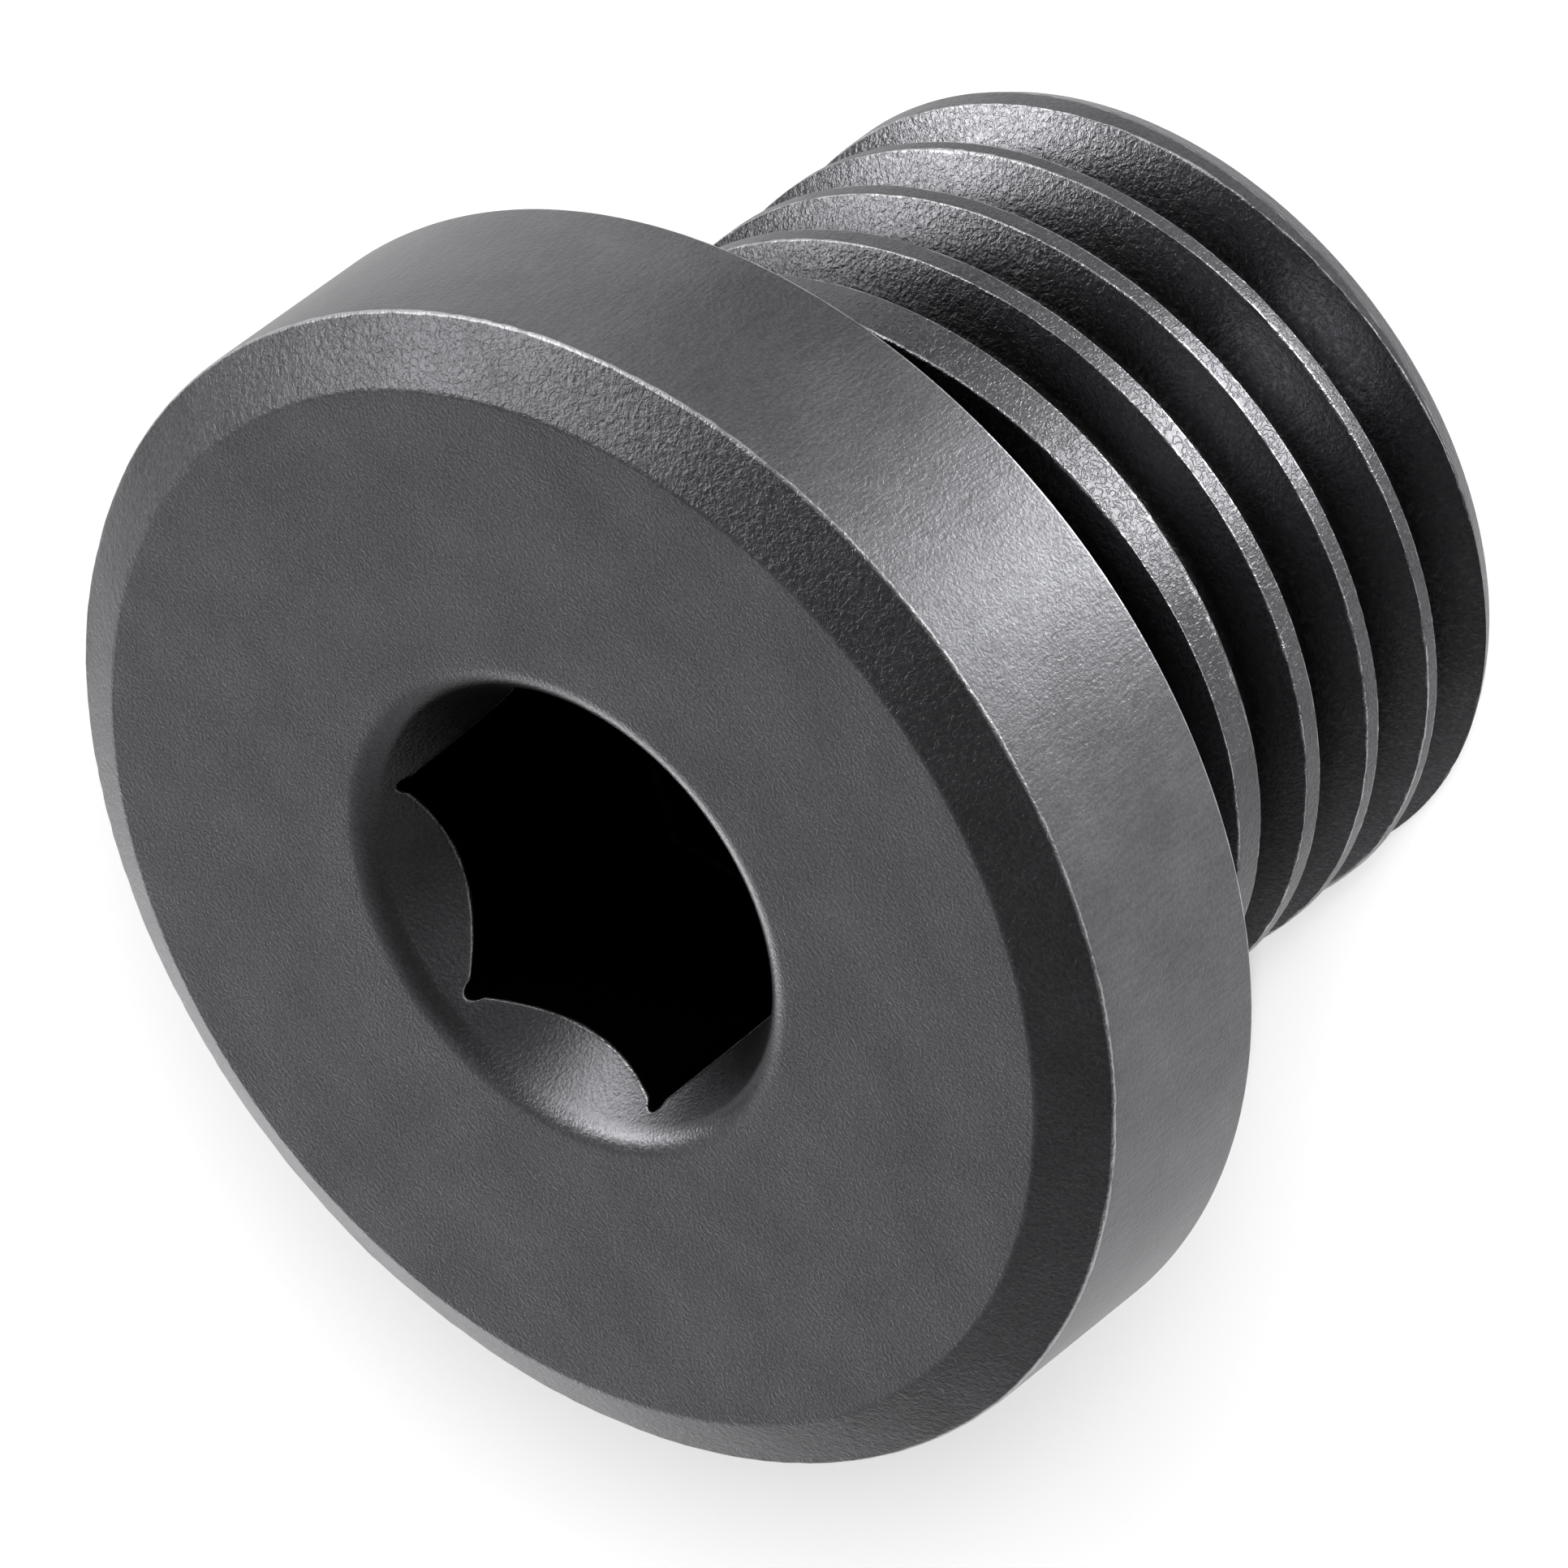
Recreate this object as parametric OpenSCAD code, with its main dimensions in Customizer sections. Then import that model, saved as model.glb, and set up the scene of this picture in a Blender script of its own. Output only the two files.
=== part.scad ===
// Screw plug for an oil drain: a flat round collar with a chamfered face and a
// hexagon socket, a thread undercut below the collar, and a right-hand metric
// thread with a chamfered end. One solid piece of steel.
// It stands on the end of its thread. The origin is the middle of that end
// face, and +Z runs up the axis to the collar's flat face.
// All sizes are in millimetres.

/* [Collar] */
// Outer diameter of the collar
collar_d = 31.5; // [29:0.5:36]
// Thickness of the collar, from its seal face to its flat outer face
collar_h = 6.6; // [5:0.1:9]
// Width of the chamfer round the outer face, on the radius
chamfer_w = 1.65; // [0.8:0.05:2.2]
// Depth of that chamfer along the axis
chamfer_h = 1.0; // [0.6:0.05:1.6]
// Edge break on the seal side of the collar
rear_break = 0.12; // [0.05:0.01:0.3]

/* [Hexagon socket] */
// Width of the hexagon across its flats
socket_af = 10; // [8:1:11]
// Depth of the hexagon below the outer face
socket_depth = 9; // [7:0.5:11]
// Radius in the corners of the hexagon
socket_corner_r = 0.3; // [0.2:0.05:0.5]
// Radius of the small round relief in each corner
relief_r = 0.3; // [0.24:0.02:0.36]
// Radius at which the countersink would meet the outer face
sink_r = 6.25; // [6.2:0.05:6.8]
// Slope of the countersink, from the outer face
sink_angle = 57; // [50:1:62]
// Radius that rounds the lip of the countersink
lip_r = 0.9; // [0.4:0.1:1.4]

/* [Thread] */
// Major diameter of the thread
thread_d = 22; // [21.5:0.1:22.5]
// Rise of the thread in one turn
pitch = 2.5; // [2:0.25:2.5]
// Length from the end of the thread to the seal face
shank_l = 17.4; // [16:0.2:24]
// Height of the slim taper that leads into the thread, with its chamfer
lead_h = 1.15; // [1:0.05:1.3]
// How far that taper goes in, on the radius
lead_w = 0.25; // [0.1:0.05:0.4]
// Height of the chamfer on the end of the thread
end_h = 0.62; // [0.4:0.02:0.8]
// Width of that chamfer, on the radius
end_w = 0.88; // [0.5:0.02:1.1]
// Height of the groove's centre line where it first crosses the +X side
groove_start = 0.6; // [0:0.1:1.2]
// Width of the flat crest near the end of the thread
crest_w = 0.36; // [0.3:0.02:0.5]
// How much wider the crest gets towards the collar
crest_gain = 0.26; // [0:0.02:0.3]
// Height from which the groove climbs faster, to run out into the undercut
runout_z = 11.74; // [11:0.02:12]
// How much faster it climbs there
runout_rise = 0.75; // [0.5:0.05:1]
// Length of the undercut below the collar
undercut_l = 4.95; // [4:0.05:5.2]
// Diameter of the undercut
undercut_d = 18.6; // [18:0.1:18.8]

/* [Hidden] */
total_h = shank_l + collar_h;
rc = collar_d / 2;
rt = thread_d / 2;
// Metric thread form: 60 degree flanks, root flat of a sixth of the pitch
root_w = pitch / 6;
// Steps in one turn of the groove
steps = 40;
// The shoulder between the thread and the undercut
shoulder_z = shank_l - undercut_l;
shoulder_rise = 1.0;
// The groove comes in from nothing just above the lead-in taper
groove_in = 1.4;
groove_in_h = 0.35;

// Depth that leaves a crest of width w
function depth_for(w) = (pitch - w - root_w) / 2 / tan(30);

// Depth of the groove at a height. It comes in over an eighth of a turn at the
// end, and the crests get a little wider towards the collar.
function groove_depth(z) =
    depth_for(crest_w + crest_gain * min(1, max(0, (z - 2.5) / 7.5)))
    * min(1, max(-0.08, (z - groove_in) / groove_in_h));

// Where the cutter begins: the first whole step below groove_in
first_i = floor((groove_in - 0.06 - groove_start) / pitch * steps);
first_z = groove_start + first_i * pitch / steps;
first_a = first_i * 360 / steps;

// Four corners of the cutter's section at step i, from the root outwards
cut_r = rt + 0.5;
function ring(i) =
    let (a = first_a + i * 360 / steps,
         turned_z = first_z + i * pitch / steps,
        z = turned_z + runout_rise * max(0, turned_z - runout_z),
         d = groove_depth(z),
         w0 = root_w / 2,
         w1 = w0 + (d + cut_r - rt) * tan(30))
    [for (p = [[cut_r, -w1], [rt - d, -w0], [rt - d, w0], [cut_r, w1]])
        [p[0] * cos(a), p[0] * sin(a), z + p[1]]];

turns_n = ceil((runout_z + (shoulder_z + shoulder_rise + 1 - runout_z) / (1 + runout_rise) - first_z) / pitch * steps);

// The helical groove as one closed body, made of triangles between rings
module groove_cutter() {
    pts = [for (i = [0 : turns_n]) each ring(i)];
    last = 4 * turns_n;
    sides = [for (i = [0 : turns_n - 1], k = [0 : 3])
        let (a = 4 * i + k, b = 4 * i + (k + 1) % 4)
        each [[a, a + 4, b], [b, a + 4, b + 4]]];
    caps = [[0, 1, 2], [0, 2, 3],
            [last, last + 2, last + 1], [last, last + 3, last + 2]];
    polyhedron(points = pts, faces = concat(sides, caps), convexity = 12);
}

// Points of an arc between two angles about a centre
function arc(c, r, a0, a1, n) =
    [for (i = [0 : n]) let (a = a0 + (a1 - a0) * i / n)
        [c[0] + r * cos(a), c[1] + r * sin(a)]];

// The countersink's lip is an arc that touches the outer face and the slope
lip_t = lip_r * tan(sink_angle / 2);
lip_c = [sink_r + lip_t, total_h - lip_r];
// The slope goes on down to a radius well inside the hexagon
sink_in = 3.5;
sink_bottom = total_h - (sink_r - sink_in) * tan(sink_angle);

module turned_blank() {
    rotate_extrude($fn = 96)
        polygon(concat(
            [[0, 0],
             [rt - lead_w - end_w, 0],
             [rt - lead_w, end_h],
             [rt, lead_h],
             [rt, shoulder_z],
             [undercut_d / 2, shoulder_z + shoulder_rise],
             [undercut_d / 2, shank_l - 0.3],
             [undercut_d / 2 + 0.3, shank_l],
             [rc - rear_break, shank_l],
             [rc, shank_l + rear_break],
             [rc, total_h - chamfer_h],
             [rc - chamfer_w, total_h]],
            arc(lip_c, lip_r, 90, 90 + sink_angle, 6),
            [[sink_in, sink_bottom], [0, sink_bottom]]));
}

// A hexagon with small radii in its corners, two of which lie on the Y axis
function hexagon(af, r) =
    let (c = af / 2 / cos(30) - r / cos(30))
    [for (k = [0 : 5]) each
        arc([c * cos(30 + 60 * k), c * sin(30 + 60 * k)], r, 60 * k, 60 * k + 60, 4)];

module socket_hole() {
    translate([0, 0, total_h - socket_depth])
        linear_extrude(height = socket_depth + 1)
            polygon(hexagon(socket_af, socket_corner_r));
    // Each relief reaches 0.04 beyond the hexagon's sharp corner
    for (k = [0 : 5])
        rotate([0, 0, 30 + 60 * k])
            translate([socket_af / 2 / cos(30) + 0.04 - relief_r, 0, total_h - socket_depth])
                cylinder(h = socket_depth + 1, r = relief_r, $fn = 24);
    // Point left by the drill that goes before the hexagon
    translate([0, 0, total_h - socket_depth - 1.4])
        cylinder(h = 1.4 + 0.1, r1 = 0.4, r2 = socket_af / 2 - 0.3, $fn = 64);
}

module drain_plug() {
    color([0.23, 0.23, 0.24])
    difference() {
        turned_blank();
        groove_cutter();
        socket_hole();
    }
}

drain_plug();
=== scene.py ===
"""The looks of the oil drain plug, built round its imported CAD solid."""

import math

import bpy
import numpy as np
from mathutils import Matrix, Vector


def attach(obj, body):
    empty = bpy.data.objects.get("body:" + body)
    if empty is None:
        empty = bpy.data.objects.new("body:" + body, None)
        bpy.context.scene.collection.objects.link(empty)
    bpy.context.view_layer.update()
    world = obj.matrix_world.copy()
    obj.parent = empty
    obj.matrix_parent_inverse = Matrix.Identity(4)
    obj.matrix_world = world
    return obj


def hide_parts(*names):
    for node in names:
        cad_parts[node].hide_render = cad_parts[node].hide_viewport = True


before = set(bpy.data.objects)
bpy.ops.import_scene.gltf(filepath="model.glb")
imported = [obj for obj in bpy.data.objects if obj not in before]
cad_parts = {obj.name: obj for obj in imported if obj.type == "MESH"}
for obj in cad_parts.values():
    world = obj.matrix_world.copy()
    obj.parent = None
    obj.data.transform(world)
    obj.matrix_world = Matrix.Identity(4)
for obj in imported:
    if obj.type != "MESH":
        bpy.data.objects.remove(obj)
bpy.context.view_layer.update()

# ---------------------------------------------------------------- the shape
# Sizes in millimetres, as in the part's source. z runs up from the thread's end.
RC, RT, H, SHANK = 15.75, 11.0, 24.0, 17.4
CH_W, CH_H = 1.65, 1.0
PITCH, START = 2.5, 0.6
ROOT_W = PITCH / 6
T30 = math.tan(math.radians(30))
SHOULDER, RISE, UNDER_R = 12.45, 1.0, 9.3
RUNOUT_Z, RUNOUT_RISE = 11.74, 0.75
LEAD_H, LEAD_W, END_H, END_W = 1.15, 0.25, 0.62, 0.88
AF, CORNER_R, RELIEF_R, SOCKET_Z = 10.0, 0.3, 0.3, 15.0
SINK_R, SINK_T, LIP_R = 6.25, math.tan(math.radians(57)), 0.9

# The columns: three quarters of a degree apart, and closer at the hexagon's corners
near = [0.25, 0.5, 1.0, 1.25, 1.75, 2.0, 2.6]
angles = {0.75 * i for i in range(480)} | {30.0 + 60 * k + side * d for k in range(6) for d in near for side in (-1, 1)}
PHI = np.radians(np.array(sorted(angles)))
N = len(PHI)
SLOTS = range(1, 7)
Z_TOP = 13.33  # the slots' rows end here, near the foot of the shoulder


def clamp(x, lo=0.0, hi=1.0):
    return np.minimum(hi, np.maximum(lo, x))


def smooth(x):
    x = clamp(x)
    return x * x * (3 - 2 * x)


def wobble(theta, seed, lo, hi, n=14, whole=False):
    """A wavy line of unit size along an angle, made of n sines from lo to hi waves in a turn."""
    rng = np.random.RandomState(seed)
    out = np.zeros_like(theta)
    total = 0.0
    for _ in range(n):
        k = math.exp(rng.uniform(math.log(lo), math.log(hi)))
        k = max(1, round(k)) if whole else k
        a = (lo / k) ** 0.35
        out += a * np.sin(k * theta + rng.uniform(0, 2 * np.pi))
        total += a * a / 2
    return out / math.sqrt(total)


def depth(z):
    w = 0.36 + 0.26 * clamp((z - 2.5) / 7.5)
    full = (PITCH - w - ROOT_W) / 2 / T30
    return full * clamp((z - 1.4) / 0.35, -0.08, 1)


def blank(z):
    """Radius of the turned blank at a height of the thread."""
    return np.interp(
        z,
        [-1.0, 0, END_H, LEAD_H, SHOULDER, SHOULDER + RISE, 16.0],
        [RT - LEAD_W - END_W - 1.4, RT - LEAD_W - END_W, RT - LEAD_W, RT, RT, UNDER_R, UNDER_R],
    )


def groove(z, zc, d):
    """Radius of the groove's surface at a height, its root a little rounded."""
    x = (np.abs(z - zc) - ROOT_W / 2) / T30
    e = 0.13
    return RT - d + (x + np.sqrt(x * x + e * e)) / 2


def crossing(zc, d, side):
    """Height at which a groove's flank meets the blank, below (side -1) or above (1) its centre, and whether it cuts in at all."""
    a = zc + side * (ROOT_W / 2 + np.maximum(d, 0) * T30 + 0.15)
    b = np.where(zc > 12.9, zc - 0.535, zc)  # where it runs out, only its lower flank still cuts
    cuts = (groove(b, zc, d) < blank(b)) & (d > 0)
    for _ in range(40):
        m = (a + b) / 2
        outside = groove(m, zc, d) > blank(m)
        a, b = np.where(outside, m, a), np.where(outside, b, m)
    return np.where(cuts, (a + b) / 2, zc + side * 0.1), cuts


centre, depths, low, high, edge_lo, edge_hi = {}, {}, {}, {}, {}, {}
for s in SLOTS:
    turned_z = START + PITCH * (PHI / (2 * np.pi) + s - 1)
    centre[s] = turned_z + RUNOUT_RISE * np.maximum(0, turned_z - RUNOUT_Z)
    depths[s] = depth(centre[s])
    low[s], cuts = crossing(centre[s], depths[s], -1)
    high[s], _ = crossing(centre[s], depths[s], 1)
    bite = blank(np.minimum(centre[s], SHOULDER)) - (RT - depths[s])
    edge_lo[s] = np.where(cuts | (s >= 5), smooth(bite / 0.25), 0.0)
    edge_hi[s] = np.where(cuts, smooth(bite / 0.25) * smooth((SHOULDER - 0.02 - high[s]) / 0.1), 0.0)
    if s >= 5:
        # Once the groove has run out, the same rows follow the shoulder's edge
        low[s] = np.where(cuts, np.minimum(low[s], SHOULDER), SHOULDER)
        if s == 6:
            low[s] = np.maximum(SHOULDER, np.where(PHI < 5.6, high[5], 99.0))
            edge_lo[s] = smooth((SHOULDER - 0.02 - high[5]) / 0.1)
            edge_hi[s] = 0 * PHI
    turn = PHI + 2 * np.pi * s
    # The cut edges aren't quite straight: slow waves, and a few small nicks
    amount = 0.55 + 0.45 * smooth(wobble(turn, 5, 0.7, 4) * 0.5 + 0.5)
    low[s] = low[s] + edge_lo[s] * amount * (0.010 * wobble(turn, 11, 5, 40) + 0.005 * wobble(turn, 12, 40, 160))
    high[s] = high[s] + edge_hi[s] * amount * (0.010 * wobble(turn, 13, 5, 40) + 0.005 * wobble(turn, 14, 40, 160))

Z_FIRST = LEAD_H + 0.05


def surface(z):
    r = blank(z)
    for s in SLOTS:
        r = np.minimum(r, np.where(depths[s] > 0, groove(z, centre[s], depths[s]), 99.0))
    return r


rows = []  # each row: radius, height, and what its surface is like


def add(r, z, wear=0.0, coarse=0.0, drawn=0.0, turned=0.0, inside=0.0, painted_shade=0.0, flank=0.0, cone=0.0):
    ones = np.ones(N)
    rows.append([np.asarray(v, float) * ones for v in (r, z, wear, coarse, drawn, turned, inside, painted_shade, flank, cone)])


FACE = {"turned": 1.0}
COARSE = {"coarse": 1.0}
DRAWN = {"drawn": 1.0}
# FLANK, ROOT and FLANK_EDGE carry painted shade, darkest at the groove's root
FLANK = {"coarse": 0.8, "flank": 1.0, "painted_shade": 0.5}
ROOT = {"coarse": 0.8, "flank": 1.0, "painted_shade": 1.0}
FLANK_EDGE = {"coarse": 0.8, "flank": 0.8, "painted_shade": 0.1}

# The end face, and its chamfer and slim taper up to the first crest
end_r = RT - LEAD_W - END_W
for r in (2.5, 5.0, 7.5, end_r - 0.16):
    add(r, 0.0, **FACE)
add(end_r - 0.04, 0.0, 0.7, **FACE)
add(end_r - 0.004, 0.022, 1.0, **COARSE)
add(end_r + 0.05, 0.05 * END_H / END_W, 0.6, **COARSE)
collapse = clamp((centre[1] - 1.0) / 0.4)
first_edge = low[1] - np.minimum(0.12, 0.42 * np.maximum(low[1] - LEAD_H, 0.02)) - 0.006
first_edge = np.where(collapse < 1, 9.0, first_edge)
for z, wear, kind in (
    (0.18, 0.0, COARSE), (0.54, 0.0, COARSE), (0.60, 0.3, COARSE), (0.65, 0.3, COARSE), (0.72, 0.0, COARSE),
    (1.02, 0.0, COARSE), (LEAD_H - 0.045, 0.5, COARSE), (LEAD_H, 0.8, DRAWN), (Z_FIRST, 0.3, DRAWN),
):
    zz = np.minimum(z, first_edge)
    shift = np.where(zz == LEAD_H, 0.012, 0.0)
    add(surface(zz) - shift, zz, wear, **kind)
n_bottom = len(rows)

# The helical groove, one slot for each turn of it
slot_z, slot_dr, slot_wear, slot_kind = [], [], [], []
for s in SLOTS:
    zc, d, lo, hi = centre[s], depths[s], low[s], high[s]
    turn = PHI + 2 * np.pi * s
    below = high[s - 1] if s > 1 else np.full(N, LEAD_H)
    above = low[s + 1] if s < 6 else np.full(N, Z_TOP)
    e_lo = 0.040 + 0.013 * clamp(wobble(turn, 21, 3, 60), -1.6, 2.2)
    e_hi = 0.038 + 0.013 * clamp(wobble(turn, 22, 3, 60), -1.6, 2.2)
    # A length of the last crest's lower edge is knocked flat
    knock = (s == 4) * smooth((np.degrees(PHI) - 222) / 20) * smooth((276 - np.degrees(PHI)) / 16)
    e_hi = e_hi + 0.10 * knock
    e_lo = np.minimum(e_lo, 0.3 * np.maximum(lo - below, 0.02)) * edge_lo[s]
    e_hi = np.minimum(e_hi, 0.3 * np.maximum(above - hi, 0.02)) * edge_hi[s]
    s_lo = np.minimum(0.12, 0.42 * np.maximum(lo - below, 0.02))
    s_hi = np.minimum(0.12, 0.42 * np.maximum(above - hi, 0.02))
    flank = np.maximum(zc - ROOT_W * 0.8 - lo, 0.0)
    flank_hi = np.maximum(hi - zc - ROOT_W * 0.8, 0.0)
    crest_mid = 0.5 * (hi + s_hi + np.maximum(above - s_hi, hi + s_hi))
    zs = [
        (lo - s_lo, 0.0, 0.0, DRAWN),
        (lo - e_lo, 0.0, 0.7, DRAWN),
        (lo - 0.134 * e_lo, -0.232 * e_lo, 1.0, DRAWN),
        (lo + 0.5 * e_lo, 0.0, 0.7, FLANK_EDGE),
        (lo + np.minimum(0.09, 0.3 * flank), 0.0, 0.0, FLANK_EDGE),
        (lo + 0.6 * flank, 0.0, 0.0, FLANK),
        (zc - ROOT_W * 0.8, 0.0, 0.0, ROOT),
        (zc - ROOT_W * 0.3, 0.0, 0.0, ROOT),
        (zc + ROOT_W * 0.3, 0.0, 0.0, ROOT),
        (zc + ROOT_W * 0.8, 0.0, 0.0, ROOT),
        (hi - 0.6 * flank_hi, 0.0, 0.0, FLANK),
        (hi - np.minimum(0.09, 0.3 * flank_hi), 0.0, 0.0, FLANK_EDGE),
        (hi - 0.5 * e_hi, 0.0, 0.7 - 0.5 * knock, FLANK_EDGE),
        (hi + 0.134 * e_hi, -0.232 * e_hi, 1.0 - 0.3 * knock, DRAWN),
        (hi + e_hi, 0.0, 0.7, DRAWN),
        (hi + s_hi, 0.0, 0.0, DRAWN),
        (crest_mid, 0.0, 0.0, DRAWN),
    ]
    for k, (z, dr, wear, kind) in enumerate(zs):
        if s == 1:
            z = Z_FIRST + collapse * (z - Z_FIRST)
            z = np.where(collapse < 1, np.maximum(z, Z_FIRST), z)
        here = edge_lo[s] if k < 6 else edge_hi[s]
        slot_z.append(z)
        slot_dr.append(dr * here)
        slot_wear.append(wear * here)
        slot_kind.append(kind)
Q = len(slot_z) // len(SLOTS)
wanted = np.stack(slot_z)
slot_z = np.clip(np.maximum.accumulate(wanted, axis=0), rows[-1][1], Z_TOP)
free = np.abs(slot_z - wanted) < 1e-6
for k, (z, dr, wear, kind, ok) in enumerate(zip(slot_z, slot_dr, slot_wear, slot_kind, free)):
    # Painted shade: where the groove runs out under the collar it grows darker still
    if k // Q >= 4 and "painted_shade" in kind:
        kind = {**kind, "painted_shade": kind["painted_shade"] + (1.25 - kind["painted_shade"]) * smooth((z - 11.9) / 0.5)}
    add(surface(z) + np.where(ok, dr, 0.0), z, np.where(ok, wear, 0.0), **kind)

# The foot of the shoulder, darkened with painted shade
add(blank(np.full(N, Z_TOP)), Z_TOP, coarse=0.8, painted_shade=1.25)


def bend(a, c, b, radius, n):
    """Points of an arc that rounds the corner c between the directions to a and b."""
    a, b, c = (np.array(v, float) for v in (a, b, c))
    u, v = (a - c) / np.linalg.norm(a - c), (b - c) / np.linalg.norm(b - c)
    half = math.acos(float(np.clip(u @ v, -1, 1))) / 2
    reach = radius / math.tan(half)
    mid = c + (u + v) / np.linalg.norm(u + v) * radius / math.sin(half)
    p0, p1 = c + u * reach, c + v * reach
    out = []
    for i in range(n + 1):
        t = i / n
        q = p0 * (1 - t) + p1 * t - mid
        out.append(mid + q / np.linalg.norm(q) * radius)
    return out


# The shoulder, the undercut and the seal face carry painted shade, lighter towards the collar's rim
for r, z in bend((RT, SHOULDER), (UNDER_R, SHOULDER + RISE), (UNDER_R, 16), 0.35, 3):
    add(r, z, coarse=0.6, drawn=0.3, painted_shade=1.25)
add(UNDER_R, 15.2, drawn=0.6, coarse=0.3, painted_shade=1.25)
for r, z in bend((UNDER_R, 15), (UNDER_R, SHANK), (12, SHANK), 0.3, 4):
    add(r, z, turned=0.6, painted_shade=1.25)
add(10.4, SHANK, turned=1.0, painted_shade=1.0)
add(13.0, SHANK, turned=1.0, painted_shade=0.7)
add(RC - 0.12 - 0.14, SHANK, **FACE)
# The collar's rear edge
for r, z in bend((10, SHANK), (RC, SHANK), (RC, 20), 0.12, 4):
    on_arc = 0.85 if 0.02 < z - SHANK < 0.1 else 0.5
    add(r, z, on_arc, **DRAWN)
add(RC, SHANK + 0.30, **DRAWN)
add(RC, 19.4, **DRAWN)
add(RC, 21.4, **DRAWN)
add(RC, H - CH_H - 0.22, **DRAWN)
# The edge between the collar's side and its chamfer, slightly uneven
slope_end = (RC - CH_W, H)
edge = bend((RC, 20), (RC, H - CH_H), slope_end, 0.16, 4)
uneven = 0.010 * wobble(PHI, 31, 6, 70, whole=True) + 0.004 * wobble(PHI, 32, 60, 200, whole=True)
for i, (r, z) in enumerate(edge):
    wear = (0.6, 0.9, 1.0, 0.9, 0.6)[i]
    add(r - 0.003 - 0.2 * np.abs(uneven), z + uneven, wear, drawn=1 - i / 4, coarse=i / 4)
slope = np.array([-CH_W, CH_H]) / math.hypot(CH_W, CH_H)
corner = np.array([RC, H - CH_H])
for k in (0.22, 0.9, 1.55):
    r, z = corner + slope * k
    add(r, z, **COARSE)
for i, (r, z) in enumerate(bend(corner, slope_end, (10, H), 0.30, 3)):
    add(r, z, (0.2, 0.5, 0.5, 0.2)[i], coarse=1 - i / 3, turned=i / 3)
# The flat face, the rounded lip and the countersink
for r in (RC - CH_W - 0.35, 12.0, 9.6, 7.6, 7.0):
    add(r, H, **FACE)
lip = math.radians(57)
lip_c = (SINK_R + LIP_R * math.tan(lip / 2), H - LIP_R)
for i in range(10):
    a = math.pi / 2 + lip * i / 9
    t = smooth(i / 9)
    add(lip_c[0] + LIP_R * math.cos(a), lip_c[1] + LIP_R * math.sin(a), 0.0, turned=1 - t, cone=smooth(i / 4))

beta = (np.degrees(PHI) + 30) % 60 - 30
delta = np.radians(30 - np.abs(beta))
hex_c = (AF / 2 - CORNER_R) / math.cos(math.pi / 6)
tangent = math.degrees(math.atan2(hex_c / 2, AF / 2))
hex_r = np.where(
    np.abs(beta) <= tangent,
    AF / 2 / np.cos(np.radians(beta)),
    hex_c * np.cos(delta) + np.sqrt(np.maximum(CORNER_R**2 - (hex_c * np.sin(delta)) ** 2, 0)),
)
# A small round relief in each corner
relief = AF / 2 / math.cos(math.pi / 6) + 0.04 - RELIEF_R
hex_r = np.maximum(
    hex_r,
    np.where(
        relief * np.sin(delta) < RELIEF_R,
        relief * np.cos(delta) + np.sqrt(np.maximum(RELIEF_R**2 - (relief * np.sin(delta)) ** 2, 0)),
        0.0,
    ),
)
meet_z = H - (SINK_R - hex_r) * SINK_T
down = np.array([-math.cos(lip), -math.sin(lip)])
lip_end = (lip_c[0] - LIP_R * math.sin(lip), lip_c[1] + LIP_R * math.cos(lip))
whole = (lip_end[0] - hex_r) / math.cos(lip)
# With k millimetres left along the slope before it meets the hexagon
for k, wear in ((np.maximum(whole * 0.5, 0.2), 0.0), (0.15, 0.0), (0.045, 0.75)):
    add(hex_r - down[0] * k, meet_z - down[1] * k, wear, cone=1.0)
# The socket: a painted highlight on the bare steel of its top edge, and painted shade that makes its walls and bottom
# near black
add(hex_r + 0.009, meet_z - 0.004, 1.0, inside=0.3)
add(hex_r, meet_z - 0.045, 0.75, inside=0.8)
add(hex_r, meet_z - 0.16, 0.0, inside=1.0)
for k in (0.35, 0.7):
    add(hex_r, meet_z + (SOCKET_Z + 0.2 - meet_z) * k, inside=1.0)
add(hex_r, SOCKET_Z + 0.2, inside=1.0)
add(hex_r - 0.02, SOCKET_Z + 0.02, inside=1.0)
add(hex_r - 0.2, SOCKET_Z, inside=1.0)
add(4.5, SOCKET_Z, inside=1.0)
for r in (4.35, 2.4, 0.5):
    add(r, 13.6 + (r - 0.4) * 1.5 / 4.3, inside=1.0)
n_rows = len(rows)
n_slots = Q * len(SLOTS)

grid = np.array(rows)  # row, value, column
xyz = np.stack([grid[:, 0] * np.cos(PHI), grid[:, 0] * np.sin(PHI), grid[:, 1]], -1)
verts = xyz.reshape(-1, 3)
values = np.moveaxis(grid[:, 2:], 1, 2).reshape(-1, 8)
verts = np.vstack([verts, [0, 0, 0], [0, 0, 13.6]])
values = np.vstack([values, [0, 0, 0, 1, 0, 0, 0, 0], [0, 0, 0, 0, 1, 0, 0, 0]])
CENTRE_END, CENTRE_SOCKET = len(verts) - 2, len(verts) - 1


def index(i, j):
    return i * N + j


def over_seam(i):
    """The row at the first column that row i of the last column goes on in: a slot's groove goes on in the next slot."""
    if n_bottom <= i < n_bottom + n_slots:
        return min(i + Q, n_bottom + n_slots)
    return i


faces = []
for i in range(n_rows - 1):
    for j in range(N - 1):
        faces.append((index(i, j), index(i, j + 1), index(i + 1, j + 1), index(i + 1, j)))
    a, b = over_seam(i), over_seam(i + 1)
    faces.append((index(i, N - 1), index(a, 0), index(b, 0), index(i + 1, N - 1)))
for j in range(N):
    k = (j + 1) % N
    faces.append((CENTRE_END, index(0, k), index(0, j)))
    faces.append((CENTRE_SOCKET, index(n_rows - 1, j), index(n_rows - 1, k)))

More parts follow.
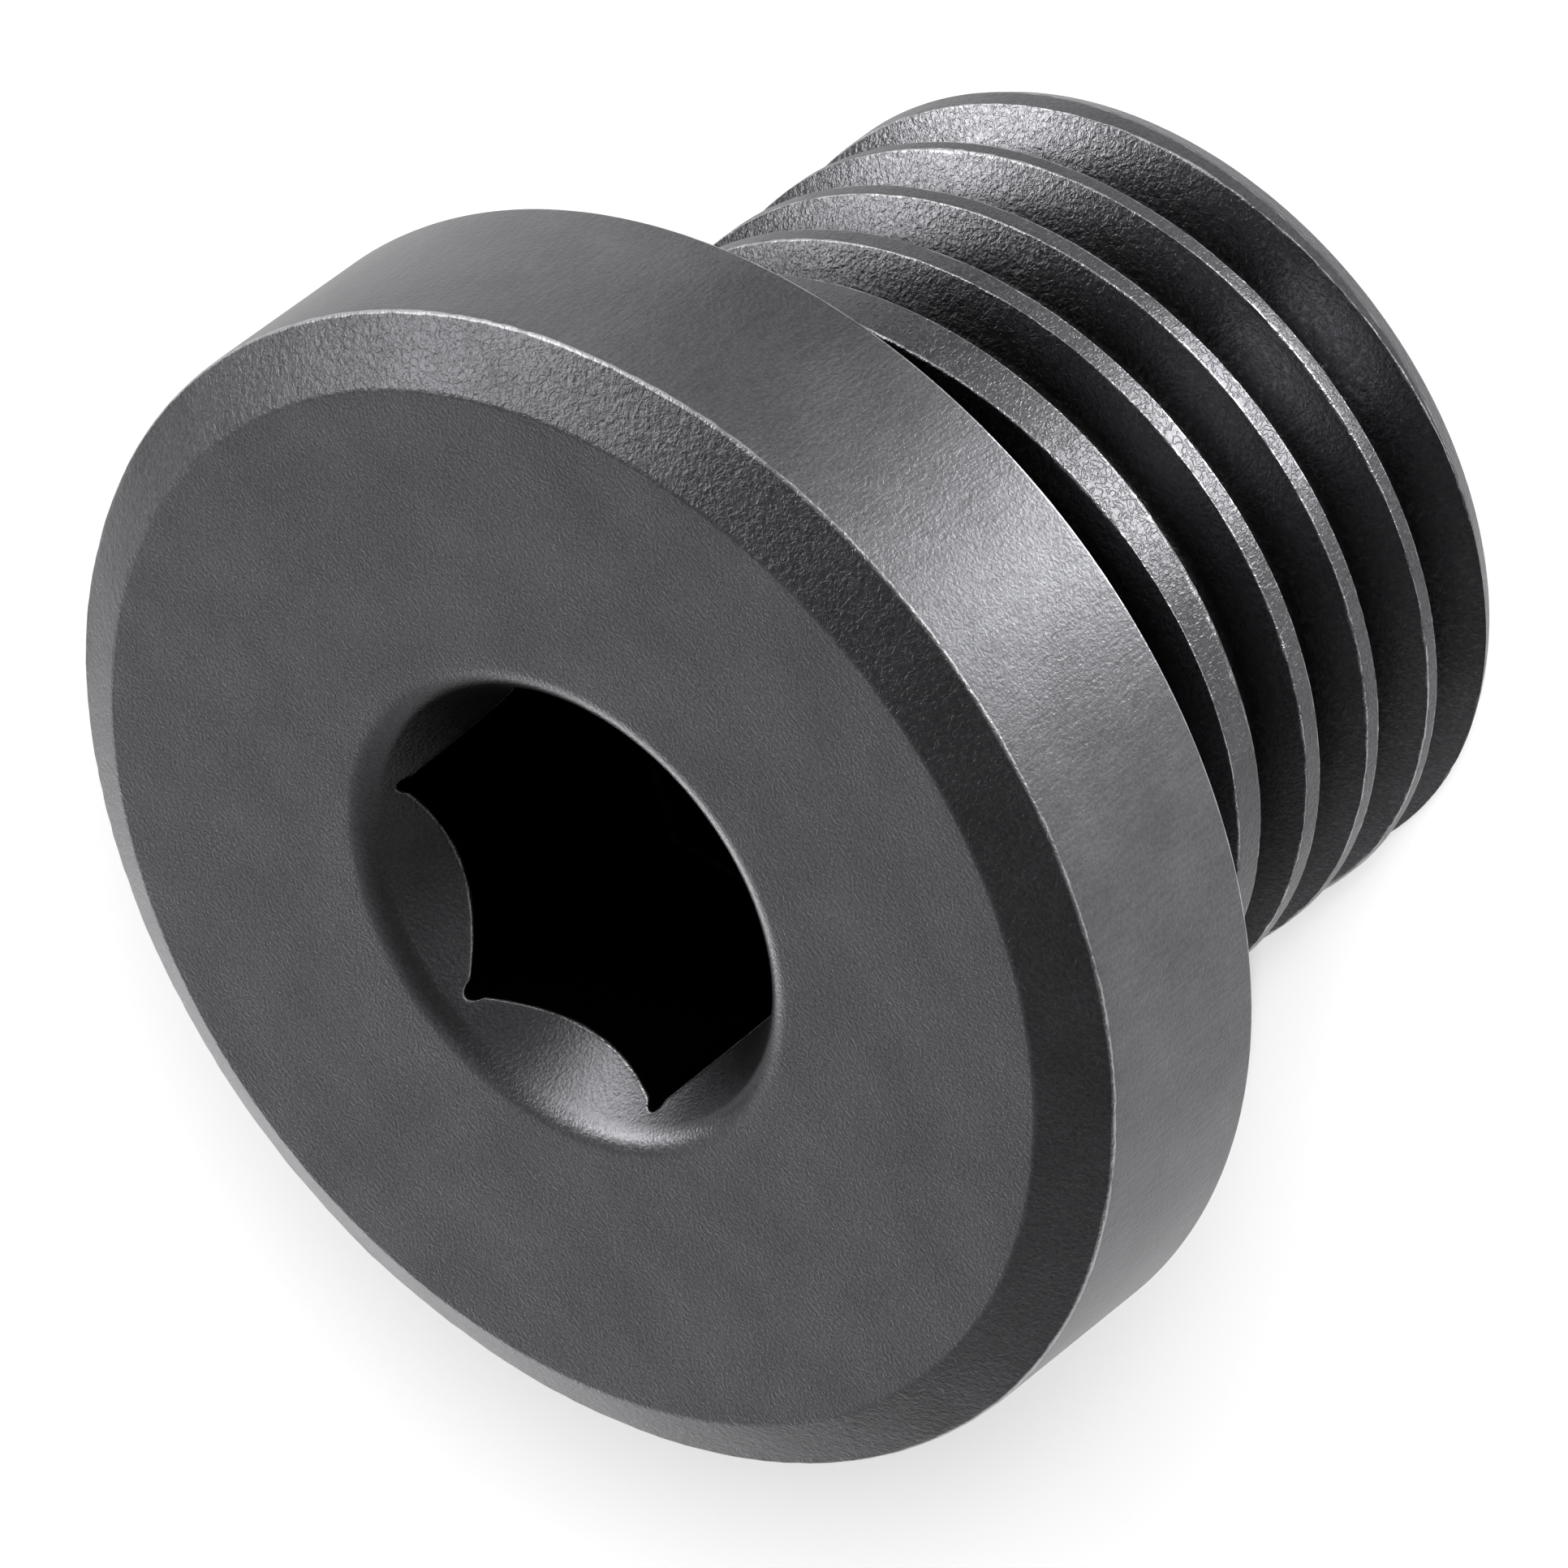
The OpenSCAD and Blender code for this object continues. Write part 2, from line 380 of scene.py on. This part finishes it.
# Points that fall together become one, and faces with no area go
key = np.round(verts * 2e4).astype(np.int64)
_, first, where = np.unique(key, axis=0, return_index=True, return_inverse=True)
where = where.reshape(-1)
verts, values = verts[first], values[first]
clean = []
for f in faces:
    g = []
    for v in f:
        w = int(where[v])
        if not g or g[-1] != w:
            g.append(w)
    if len(g) > 1 and g[0] == g[-1]:
        g.pop()
    if len(g) >= 3 and len(set(g)) == len(g):
        clean.append(tuple(g))
used = np.unique(np.concatenate([np.array(f) for f in clean]))
renumber = np.full(len(verts), -1)
renumber[used] = np.arange(len(used))
verts, values = verts[used], values[used]
clean = [tuple(int(renumber[v]) for v in f) for f in clean]

mesh = bpy.data.meshes.new("drain_plug_surface")
mesh.from_pydata((verts * 0.001).tolist(), [], clean)
mesh.update()
for k, name in enumerate(("wear", "coarse", "drawn", "turned", "inside", "painted_shade", "flank", "cone")):
    layer = mesh.attributes.new(name, "FLOAT", "POINT")
    layer.data.foreach_set("value", values[:, k].astype(np.float32))

# Normals weighted by area, so that the flats shade flat and the narrow edges round
quads = np.array([f if len(f) == 4 else (*f, f[2]) for f in clean])
p = verts[quads]
area = np.cross(p[:, 2] - p[:, 0], p[:, 3] - p[:, 1])
normal = np.zeros_like(verts)
for k in range(4):
    take = np.ones(len(quads), bool) if k < 3 else quads[:, 3] != quads[:, 2]
    np.add.at(normal, quads[take, k], area[take])
normal /= np.maximum(np.linalg.norm(normal, axis=1, keepdims=True), 1e-12)
mesh.polygons.foreach_set("use_smooth", [True] * len(mesh.polygons))
mesh.normals_split_custom_set_from_vertices(normal.tolist())
plug = bpy.data.objects.new("drain_plug_steel", mesh)
bpy.context.scene.collection.objects.link(plug)

# ---------------------------------------------------------------- the steel
steel = bpy.data.materials.new("phosphated_steel")
steel.use_nodes = True
tree = steel.node_tree
tree.nodes.clear()
link = tree.links.new


def node(kind, **settings):
    n = tree.nodes.new(kind)
    for k, v in settings.items():
        setattr(n, k, v)
    return n


def put(socket, value):
    if isinstance(value, bpy.types.NodeSocket):
        link(value, socket)
    else:
        socket.default_value = value


def maths(op, a, b=None, c=None, limit=False):
    n = node("ShaderNodeMath", operation=op, use_clamp=limit)
    put(n.inputs[0], a)
    if b is not None:
        put(n.inputs[1], b)
    if c is not None:
        put(n.inputs[2], c)
    return n.outputs[0]


def attribute(name):
    return node("ShaderNodeAttribute", attribute_name=name, attribute_type="GEOMETRY").outputs["Fac"]


def vector(x, y, z):
    n = node("ShaderNodeCombineXYZ")
    for s, v in zip(n.inputs, (x, y, z)):
        put(s, v)
    return n.outputs[0]


def noise(where_, scale, detail=2.0, rough=0.5, distort=0.0):
    n = node("ShaderNodeTexNoise")
    link(where_, n.inputs["Vector"])
    n.inputs["Scale"].default_value = scale
    n.inputs["Detail"].default_value = detail
    n.inputs["Roughness"].default_value = rough
    n.inputs["Distortion"].default_value = distort
    return n.outputs["Fac"]


def spread(value, lo, hi, a=0.0, b=1.0, kind="LINEAR"):
    n = node("ShaderNodeMapRange", interpolation_type=kind)
    for s, v in zip(n.inputs, (value, lo, hi, a, b)):
        put(s, v)
    return n.outputs[0]


place = node("ShaderNodeTexCoord").outputs["Object"]
mm = node("ShaderNodeVectorMath", operation="SCALE")
link(place, mm.inputs[0])
mm.inputs["Scale"].default_value = 1000.0
mm = mm.outputs[0]
parts = node("ShaderNodeSeparateXYZ")
link(mm, parts.inputs[0])
px, py, pz = parts.outputs
radius = maths("SQRT", maths("MAXIMUM", maths("ADD", maths("MULTIPLY", px, px), maths("MULTIPLY", py, py)), 0.0001))
ux, uy = maths("DIVIDE", px, radius), maths("DIVIDE", py, radius)

a_wear, a_coarse, a_drawn = attribute("wear"), attribute("coarse"), attribute("drawn")
a_turned, a_inside, a_painted_shade = attribute("turned"), attribute("inside"), attribute("painted_shade")
a_flank, a_cone = attribute("flank"), attribute("cone")

grain = noise(mm, 11.0, 3.0, 0.6)  # the phosphate's fine crystals
lumps = noise(mm, 5.6, 2.5, 0.55, 0.5)  # the hammered look of the flanks and the chamfer
blotch = noise(mm, 0.45, 3.0, 0.55)
# Fine curly ridges all over, thin lines where a noise crosses its middle
curl = noise(mm, 5.2, 1.0, 0.5, 0.7)
curl = spread(maths("ABSOLUTE", maths("SUBTRACT", curl, 0.5)), 0.0, 0.085, 1.0, 0.0, "SMOOTHSTEP")
# Marks along the axis on the collar's side and the crests, and rings on the turned faces
streak = noise(vector(maths("MULTIPLY", ux, 150.0), maths("MULTIPLY", uy, 150.0), maths("MULTIPLY", pz, 1.3)), 1.0, 3.0, 0.6)
ring = noise(vector(maths("MULTIPLY", radius, 9.0), maths("MULTIPLY", ux, 2.0), maths("MULTIPLY", uy, 2.0)), 1.0, 2.0, 0.5)

# Height, in hundredths of a millimetre
on_crest = maths("MULTIPLY", a_drawn, maths("LESS_THAN", pz, 13.0))
h_grain = maths("MULTIPLY", grain, maths("SUBTRACT", 1.9, maths("ADD", a_coarse, maths("ADD", maths("MULTIPLY", a_cone, 0.6), maths("MULTIPLY", on_crest, 0.7)))))
h_lumps = maths("MULTIPLY", maths("MULTIPLY", lumps, 3.2), maths("ADD", a_coarse, maths("MULTIPLY", a_drawn, 0.35)))
calm = maths("MULTIPLY", a_flank, spread(ux, 0.3, 0.85, 1.0, 0.2))
h_lumps = maths("MULTIPLY", h_lumps, maths("SUBTRACT", 1.0, maths("MULTIPLY", calm, 0.5)))
h_streak = maths("MULTIPLY", maths("MULTIPLY", streak, 1.3), a_drawn)
h_ring = maths("MULTIPLY", maths("MULTIPLY", ring, 0.3), a_turned)
h_curl = maths("ADD", maths("MULTIPLY", a_coarse, 0.36), maths("ADD", maths("MULTIPLY", a_drawn, 0.20), maths("MULTIPLY", a_cone, 0.05)))
h_curl = maths("ADD", h_curl, maths("MULTIPLY", on_crest, 0.9))
h_curl = maths("SUBTRACT", h_curl, maths("MULTIPLY", calm, 0.14))
h_curl = maths("MULTIPLY", curl, maths("ADD", h_curl, 0.06))
height = maths("ADD", maths("ADD", h_grain, h_lumps), maths("ADD", h_streak, h_ring))
height = maths("ADD", height, h_curl)
bump = node("ShaderNodeBump")
bump.inputs["Strength"].default_value = 1.0
bump.inputs["Distance"].default_value = 1e-5
link(height, bump.inputs["Height"])

# Worn edges: where the wear beats a noise that breaks the line up
break_up = noise(mm, 1.7, 3.0, 0.6)
worn = spread(maths("ADD", a_wear, maths("MULTIPLY", maths("SUBTRACT", break_up, 0.5), 0.8)), 0.64, 0.94, 0.0, 0.9, "SMOOTHSTEP")
# The flanks are rubbed smoother and a little barer towards the thread's end
specks = noise(mm, 5.5, 3.0, 0.62)
burnish = maths("MULTIPLY", spread(pz, 11.0, 2.0, 0.25, 1.0), a_flank)
rubbed = maths("MULTIPLY", spread(specks, 0.48, 0.68, 0.0, 0.12, "SMOOTHSTEP"), burnish)
worn = maths("MAXIMUM", worn, rubbed)
shade = spread(blotch, 0.3, 0.7, 0.89, 1.11)
shade = maths("MULTIPLY", shade, spread(grain, 0.3, 0.7, 0.8, 1.2))
shade = maths("MULTIPLY", shade, spread(maths("MULTIPLY", maths("SUBTRACT", streak, 0.5), a_drawn), -0.25, 0.25, 0.86, 1.14))
shade = maths("MULTIPLY", shade, maths("SUBTRACT", 1.0, maths("ADD", maths("MULTIPLY", on_crest, 0.25), maths("MULTIPLY", a_drawn, 0.09))))
base = node("ShaderNodeVectorMath", operation="SCALE")
base.inputs[0].default_value = (0.120, 0.120, 0.127)
# Painted shade: the thread's groove, the undercut and the underside of the collar are darkened
shade = maths("MULTIPLY", shade, maths("SUBTRACT", 1.0, maths("MULTIPLY", a_painted_shade, 0.7)))
# Painted shade: the socket's inside is darkened to near black
shade = maths("MULTIPLY", shade, maths("SUBTRACT", 1.0, maths("MULTIPLY", a_inside, 0.93)))
# Painted light and shade on the flanks: half as light near the collar, and up to 1.55 times as light near the thread's
# end on the +X side
shade = maths("MULTIPLY", shade, maths("SUBTRACT", 1.0, maths("MULTIPLY", a_flank, spread(pz, 2.5, 11.0, spread(ux, 0.2, 0.8, 0.04, -0.55), 0.5))))
rough_only = maths("MULTIPLY", a_coarse, maths("SUBTRACT", 1.0, a_flank))
shade = maths("MULTIPLY", shade, maths("SUBTRACT", 1.0, maths("MULTIPLY", rough_only, 0.12)))
link(shade, base.inputs["Scale"])
colour = node("ShaderNodeMix", data_type="RGBA")
link(worn, colour.inputs["Factor"])
link(base.outputs[0], colour.inputs["A"])
bare = node("ShaderNodeVectorMath", operation="SCALE")
bare.inputs[0].default_value = (0.36, 0.36, 0.37)
# Painted highlight: in the socket, that is at its worn top edge, the bare steel is up to 2.6 times as light
link(maths("ADD", 1.0, maths("MULTIPLY", spread(a_inside, 0.1, 0.3, 0.0, 1.0), 1.6)), bare.inputs["Scale"])
link(bare.outputs[0], colour.inputs["B"])
rough = maths("ADD", maths("MULTIPLY", grain, 0.10), 0.36)
rough = maths("SUBTRACT", rough, maths("MULTIPLY", a_flank, 0.15))
rough = maths("SUBTRACT", rough, maths("MULTIPLY", burnish, 0.05))
rough = maths("SUBTRACT", rough, maths("MULTIPLY", a_cone, 0.12))
rough = maths("SUBTRACT", rough, maths("MULTIPLY", worn, 0.12))

shader = node("ShaderNodeBsdfPrincipled")
shader.inputs["Metallic"].default_value = 1.0
link(colour.outputs["Result"], shader.inputs["Base Color"])
link(rough, shader.inputs["Roughness"])
link(bump.outputs[0], shader.inputs["Normal"])
out = node("ShaderNodeOutputMaterial")
link(shader.outputs[0], out.inputs["Surface"])
mesh.materials.append(steel)

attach(plug, "root")
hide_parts("drain_plug")

# ---------------------------------------------------------------- the room
floor_mesh = bpy.data.meshes.new("floor")
s = 3.0
floor_mesh.from_pydata([(-s, -s, 0), (s, -s, 0), (s, s, 0), (-s, s, 0)], [], [(0, 1, 2, 3)])
floor = bpy.data.objects.new("floor", floor_mesh)
bpy.context.scene.collection.objects.link(floor)
paint = bpy.data.materials.new("pale_floor")
paint.use_nodes = True
b = paint.node_tree.nodes["Principled BSDF"]
b.inputs["Base Color"].default_value = (0.9, 0.9, 0.9, 1)
b.inputs["Roughness"].default_value = 1.0
b.inputs["Specular IOR Level"].default_value = 0.0
floor_mesh.materials.append(paint)


def towards(azimuth, elevation):
    a, e = math.radians(azimuth), math.radians(elevation)
    return Vector((math.cos(a) * math.cos(e), math.sin(a) * math.cos(e), math.sin(e)))


# A soft studio: an even dim room with a few broad soft lights in it
world = bpy.data.worlds.new("studio")
bpy.context.scene.world = world
world.use_nodes = True
tree = world.node_tree
tree.nodes.clear()
link = tree.links.new
direction = node("ShaderNodeTexCoord").outputs["Generated"]
LOBES = [  # azimuth, elevation, width in degrees, brightness
    (354, 20, 15, 4.7),
    (22, 41, 8, 9.3),
    (88, 38, 26, 0.375),
    (88, 4, 7, 8.0),
    (140, 8, 24, 0.28),
    (265, 24, 32, 0.09),
]
total = None
for az, el, width, level in LOBES:
    dot = node("ShaderNodeVectorMath", operation="DOT_PRODUCT")
    link(direction, dot.inputs[0])
    dot.inputs[1].default_value = towards(az, el)
    k = 1 / math.radians(width) ** 2
    g = maths("MULTIPLY", maths("EXPONENT", maths("MULTIPLY", maths("SUBTRACT", dot.outputs["Value"], 1.0), k)), level)
    total = g if total is None else maths("ADD", total, g)
# A long low light in front, which draws thin lines along the edges
split = node("ShaderNodeSeparateXYZ")
link(direction, split.inputs[0])
dot = node("ShaderNodeVectorMath", operation="DOT_PRODUCT")
link(direction, dot.inputs[0])
dot.inputs[1].default_value = towards(266, 4)
off = maths("DIVIDE", maths("SUBTRACT", split.outputs[2], 0.20), 0.12)
band = maths("SUBTRACT", maths("MULTIPLY", maths("SUBTRACT", dot.outputs["Value"], 1.0), 5.0), maths("MULTIPLY", off, off))
total = maths("ADD", total, maths("MULTIPLY", maths("EXPONENT", band), 1.0))
total = maths("ADD", total, 0.09)
background = node("ShaderNodeBackground")
background.inputs["Color"].default_value = (1, 1, 1, 1)
link(total, background.inputs["Strength"])
out = node("ShaderNodeOutputWorld")
link(background.outputs[0], out.inputs["Surface"])
world.cycles_visibility.diffuse = False  # the lights below are the floor's own


def lamp(name, kind, place_, target, **settings):
    data = bpy.data.lights.new(name, kind)
    for k, v in settings.items():
        setattr(data, k, v)
    o = bpy.data.objects.new(name, data)
    bpy.context.scene.collection.objects.link(o)
    o.location = place_
    o.rotation_mode = "QUATERNION"
    o.rotation_quaternion = (Vector(target) - Vector(place_)).to_track_quat("-Z", "Y")
    return o


# The floor's own light, which the steel doesn't mirror: one from the camera's side, whose
# shadow lies behind the plug, two broad lower ones that leave a soft shadow, and a fill
for name, az, el, energy, angle in (
    ("front_sun", 268.4, 42.1, 1.40, 2), ("low_sun", 268.3, 34.6, 2.25, 15.5), ("side_sun", 285.9, 37.0, 2.35, 24.6),
    ("fill_sun", 268.4, 60.0, 0.82, 2),
):
    sun = lamp(name, "SUN", towards(az, el), (0, 0, 0), energy=energy, angle=math.radians(angle))
    sun.visible_glossy = False
    sun.data.use_shadow = name != "fill_sun"
# A low strip light in front, which draws the highlight down the crests and the collar's side
x, y = 0.0231 * math.cos(math.radians(268)), 0.0231 * math.sin(math.radians(268))
low = lamp("low_strip", "AREA", (x, y, 0.0015), (x, y, 1), energy=14.0 * math.pi * 0.008 * 0.018, shape="RECTANGLE", size=0.008, size_y=0.018)
low.visible_camera = False
low.visible_diffuse = False
# A small upright one, which the rounded edges draw out into bright lines
x, y = 0.075 * math.cos(math.radians(267)), 0.075 * math.sin(math.radians(267))
upright = lamp("upright_strip", "AREA", (x, y, 0.007), (0, 0, 0.007), energy=9.0 * math.pi * 0.038 * 0.010, shape="RECTANGLE", size=0.038, size_y=0.010)
upright.visible_camera = False
upright.visible_diffuse = False
# A small black flag lies beside them, and darkens what the steel mirrors there
flag_mesh = bpy.data.meshes.new("flag")
spots = [(0.018, 307), (0.045, 311), (0.045, 327), (0.018, 327)]
flag_mesh.from_pydata([(r * math.cos(math.radians(a)), r * math.sin(math.radians(a)), 0.0012) for r, a in spots], [], [(0, 1, 2, 3)])
flag = bpy.data.objects.new("flag", flag_mesh)
bpy.context.scene.collection.objects.link(flag)
cloth = bpy.data.materials.new("black_cloth")
cloth.use_nodes = True
b = cloth.node_tree.nodes["Principled BSDF"]
b.inputs["Base Color"].default_value = (0.05, 0.05, 0.05, 1)
b.inputs["Roughness"].default_value = 1.0
b.inputs["Specular IOR Level"].default_value = 0.0
flag_mesh.materials.append(cloth)
flag.visible_camera = flag.visible_diffuse = flag.visible_shadow = False

# ---------------------------------------------------------------- the camera
cam_data = bpy.data.cameras.new("camera")
cam_data.sensor_fit = "HORIZONTAL"
cam_data.sensor_width = 36.0
cam_data.lens = 20955 / 1932 * 36.0
cam_data.clip_start, cam_data.clip_end = 0.02, 20.0
camera = bpy.data.objects.new("camera", cam_data)
bpy.context.scene.collection.objects.link(camera)
right = Vector((-0.6183, -0.5003, -0.6062))
ahead = Vector((0.0197, 0.7612, -0.6483)).normalized()
right = (right - ahead * right.dot(ahead)).normalized()
up = right.cross(ahead)
camera.matrix_world = Matrix.Translation((-0.00889, -0.31636, 0.28543)) @ Matrix((right, up, -ahead)).transposed().to_4x4()
bpy.context.scene.camera = camera
bpy.context.scene.view_settings.view_transform = "Standard"
bpy.context.scene.view_settings.look = "None"

bpy.context.view_layer.update()
